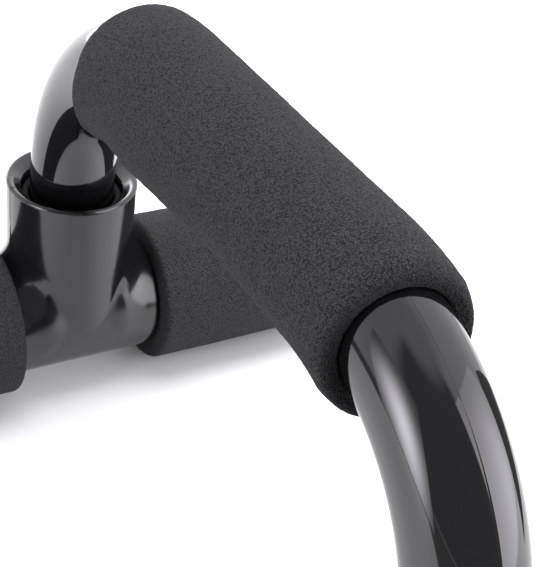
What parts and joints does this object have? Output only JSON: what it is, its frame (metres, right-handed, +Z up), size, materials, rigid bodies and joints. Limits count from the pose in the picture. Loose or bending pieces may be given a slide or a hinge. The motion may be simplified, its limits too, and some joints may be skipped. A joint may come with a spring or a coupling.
{
  "type": "push-up stand",
  "caption": "Low push-up stand: a bent black tube with a foam hand grip, its legs plugged into tee sockets on two foam-padded foot bars.",
  "frame": {"origin": "middle of the footprint on the floor", "axes": "+X along the hand grip from foot b to foot a, +Y along the foot bars towards their back ends, +Z up"},
  "size_m": [0.2412, 0.1756, 0.1451],
  "materials": {
    "tube_paint": "gloss black paint on steel tube",
    "foam": "matt charcoal closed-cell foam with a fine porous skin",
    "socket_plastic": "gloss black moulding",
    "plug_plastic": "satin black moulding",
    "bush_rubber": "matt black",
    "screw_steel": "zinc-plated"
  },
  "bodies": {
    "handle": {"handle_tube": "tube_paint", "grip_foam": "foam", "leg_plug_a": "plug_plastic", "leg_plug_b": "plug_plastic"},
    "foot_a": {"socket_a": "socket_plastic", "bush_a": "bush_rubber", "foot_tube_a": "tube_paint", "foot_foam_a_front": "foam", "foot_foam_a_back": "foam", "end_cap_a_front": "plug_plastic", "end_cap_a_back": "plug_plastic", "screw_a_front": "screw_steel", "screw_a_back": "screw_steel"},
    "foot_b": {"socket_b": "socket_plastic", "bush_b": "bush_rubber", "foot_tube_b": "tube_paint", "foot_foam_b_front": "foam", "foot_foam_b_back": "foam", "end_cap_b_front": "plug_plastic", "end_cap_b_back": "plug_plastic", "screw_b_front": "screw_steel", "screw_b_back": "screw_steel"}
  },
  "joints": [
    {"name": "foot_a_pull_off", "type": "slide", "parent": "handle", "child": "foot_a", "axis": [0, 0, -1], "range_m": [0, 0.045]},
    {"name": "foot_b_pull_off", "type": "slide", "parent": "handle", "child": "foot_b", "axis": [0, 0, -1], "range_m": [0, 0.045]}
  ]
}
